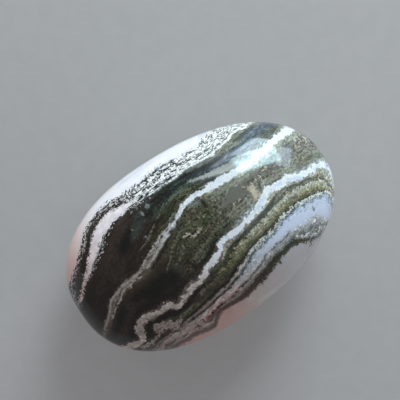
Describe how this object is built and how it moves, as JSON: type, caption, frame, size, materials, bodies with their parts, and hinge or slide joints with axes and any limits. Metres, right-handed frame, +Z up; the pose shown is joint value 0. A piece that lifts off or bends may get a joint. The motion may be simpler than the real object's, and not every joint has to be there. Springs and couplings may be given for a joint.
{
  "type": "polished ocean jasper palm stone",
  "caption": "Plump polished pebble of banded ocean jasper, egg-like in plan, lying on a small flat spot; a loose stone to hold or set on a shelf.",
  "frame": {"origin": "on the flat spot that the stone rests on, under the centre of its bounding box", "axes": "+X along the stone towards its narrower end, +Y across it, +Z up through its broad face"},
  "size_m": [0.0724, 0.0458, 0.0336],
  "materials": {
    "polished_jasper": "polished"
  },
  "bodies": {
    "root": {"stone": "polished_jasper"}
  },
  "joints": []
}
